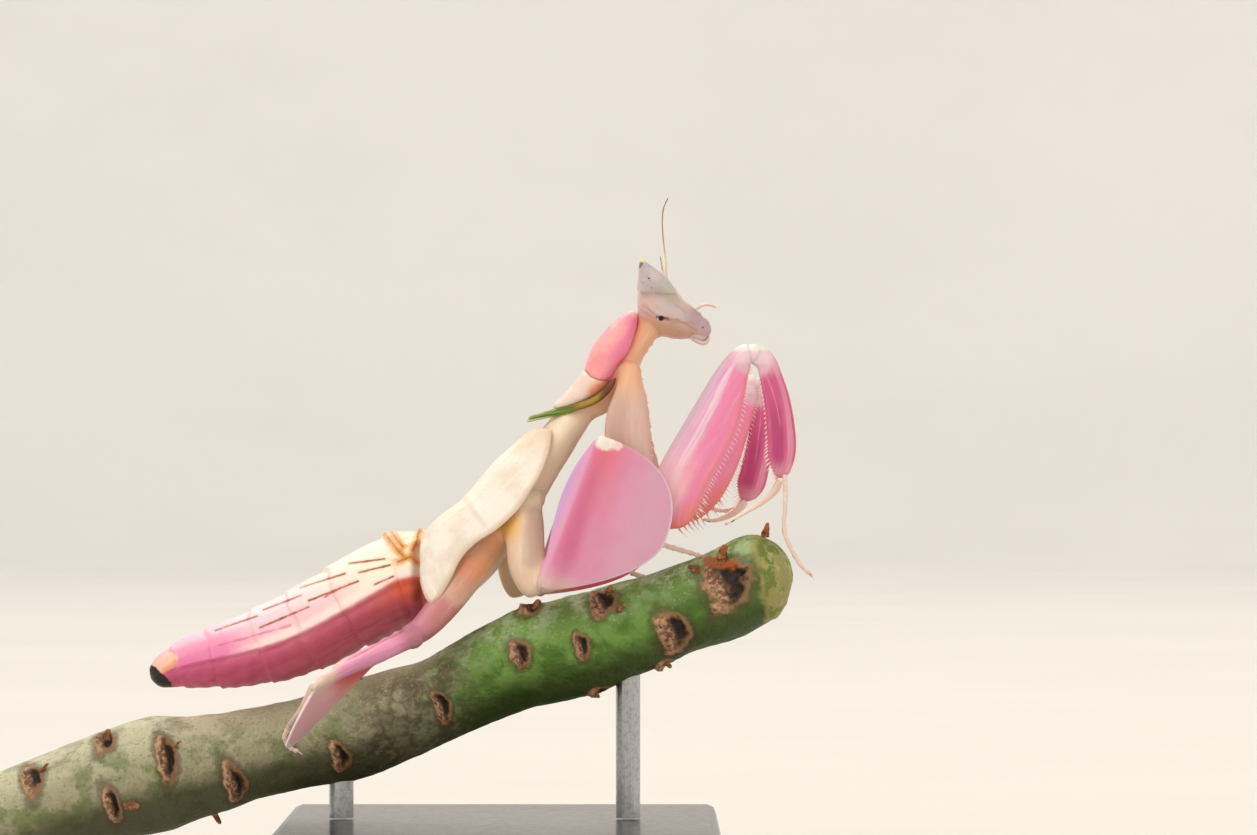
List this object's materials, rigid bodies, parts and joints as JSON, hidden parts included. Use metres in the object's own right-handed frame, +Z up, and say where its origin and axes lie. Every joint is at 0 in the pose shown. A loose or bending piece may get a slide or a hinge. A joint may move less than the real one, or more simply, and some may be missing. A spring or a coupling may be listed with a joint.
{
  "type": "orchid mantis",
  "caption": "Pink orchid mantis nymph with petal-like legs, raised body and folded raptorial legs, on a cut green stem held by a flat stand with short rods.",
  "frame": {"origin": "centre of the underside of the stand's base", "axes": "+X the way the animal faces, +Y to its left side, +Z up"},
  "size_m": [0.0686, 0.04, 0.056],
  "materials": {
    "abdomen_pink": "satin cuticle, cream above and crimson pink at the sides",
    "abdomen_dark": "glossy dark cuticle",
    "body_cream": "waxy cream cuticle",
    "body_peach": "waxy peach cuticle",
    "pronotum_pink": "satin pink cuticle",
    "band_green": "satin green to brown cuticle",
    "head_lilac": "satin greyish pink cuticle",
    "eye_glassy": "clear, pale and glossy",
    "feeler_brown": "matt brown",
    "claw_pale": "satin, pale and translucent",
    "coxa_grey": "satin greyish pink cuticle",
    "petal_pink": "satin pink cuticle, paler at its edges",
    "petal_magenta": "satin magenta cuticle with streaks",
    "stem_bark": "green and grey bark with brown leaf scars",
    "stand_black": "matt black paint",
    "stand_steel": "brushed"
  },
  "bodies": {
    "root": {"abdomen_front": "abdomen_pink", "abdomen_middle": "abdomen_pink", "abdomen_rear": "abdomen_pink", "abdomen_tip": "abdomen_dark", "antenna_left": "feeler_brown", "antenna_right": "feeler_brown", "eye_left": "eye_glassy", "eye_right": "eye_glassy", "fore_claw_left": "claw_pale", "fore_claw_right": "claw_pale", "fore_coxa_left": "coxa_grey", "fore_coxa_right": "coxa_grey", "fore_femur_left": "petal_pink", "fore_femur_right": "petal_pink", "fore_tarsus_left": "claw_pale", "fore_tarsus_right": "claw_pale", "fore_tibia_left": "petal_magenta", "fore_tibia_right": "petal_magenta", "forewing_pad_left": "body_cream", "forewing_pad_right": "body_cream", "head": "head_lilac", "hind_coxa_left": "body_cream", "hind_coxa_right": "body_cream", "hind_femur_left": "petal_pink", "hind_femur_right": "petal_pink", "hind_tarsus_left": "claw_pale", "hind_tarsus_right": "claw_pale", "hind_tibia_left": "claw_pale", "hind_tibia_right": "claw_pale", "hindwing_pad_left": "body_cream", "hindwing_pad_right": "body_cream", "mid_coxa_left": "body_cream", "mid_coxa_right": "body_cream", "mid_femur_left": "petal_pink", "mid_femur_right": "petal_pink", "mid_tarsus_left": "claw_pale", "mid_tarsus_right": "claw_pale", "mid_tibia_left": "claw_pale", "mid_tibia_right": "claw_pale", "neck": "body_peach", "palp_left": "claw_pale", "palp_right": "claw_pale", "perch_stem": "stem_bark", "pronotum": "pronotum_pink", "pronotum_band": "band_green", "prothorax": "body_peach", "stand_base": "stand_black", "stand_rod_front": "stand_steel", "stand_rod_rear": "stand_steel", "thorax": "body_cream"}
  },
  "joints": []
}
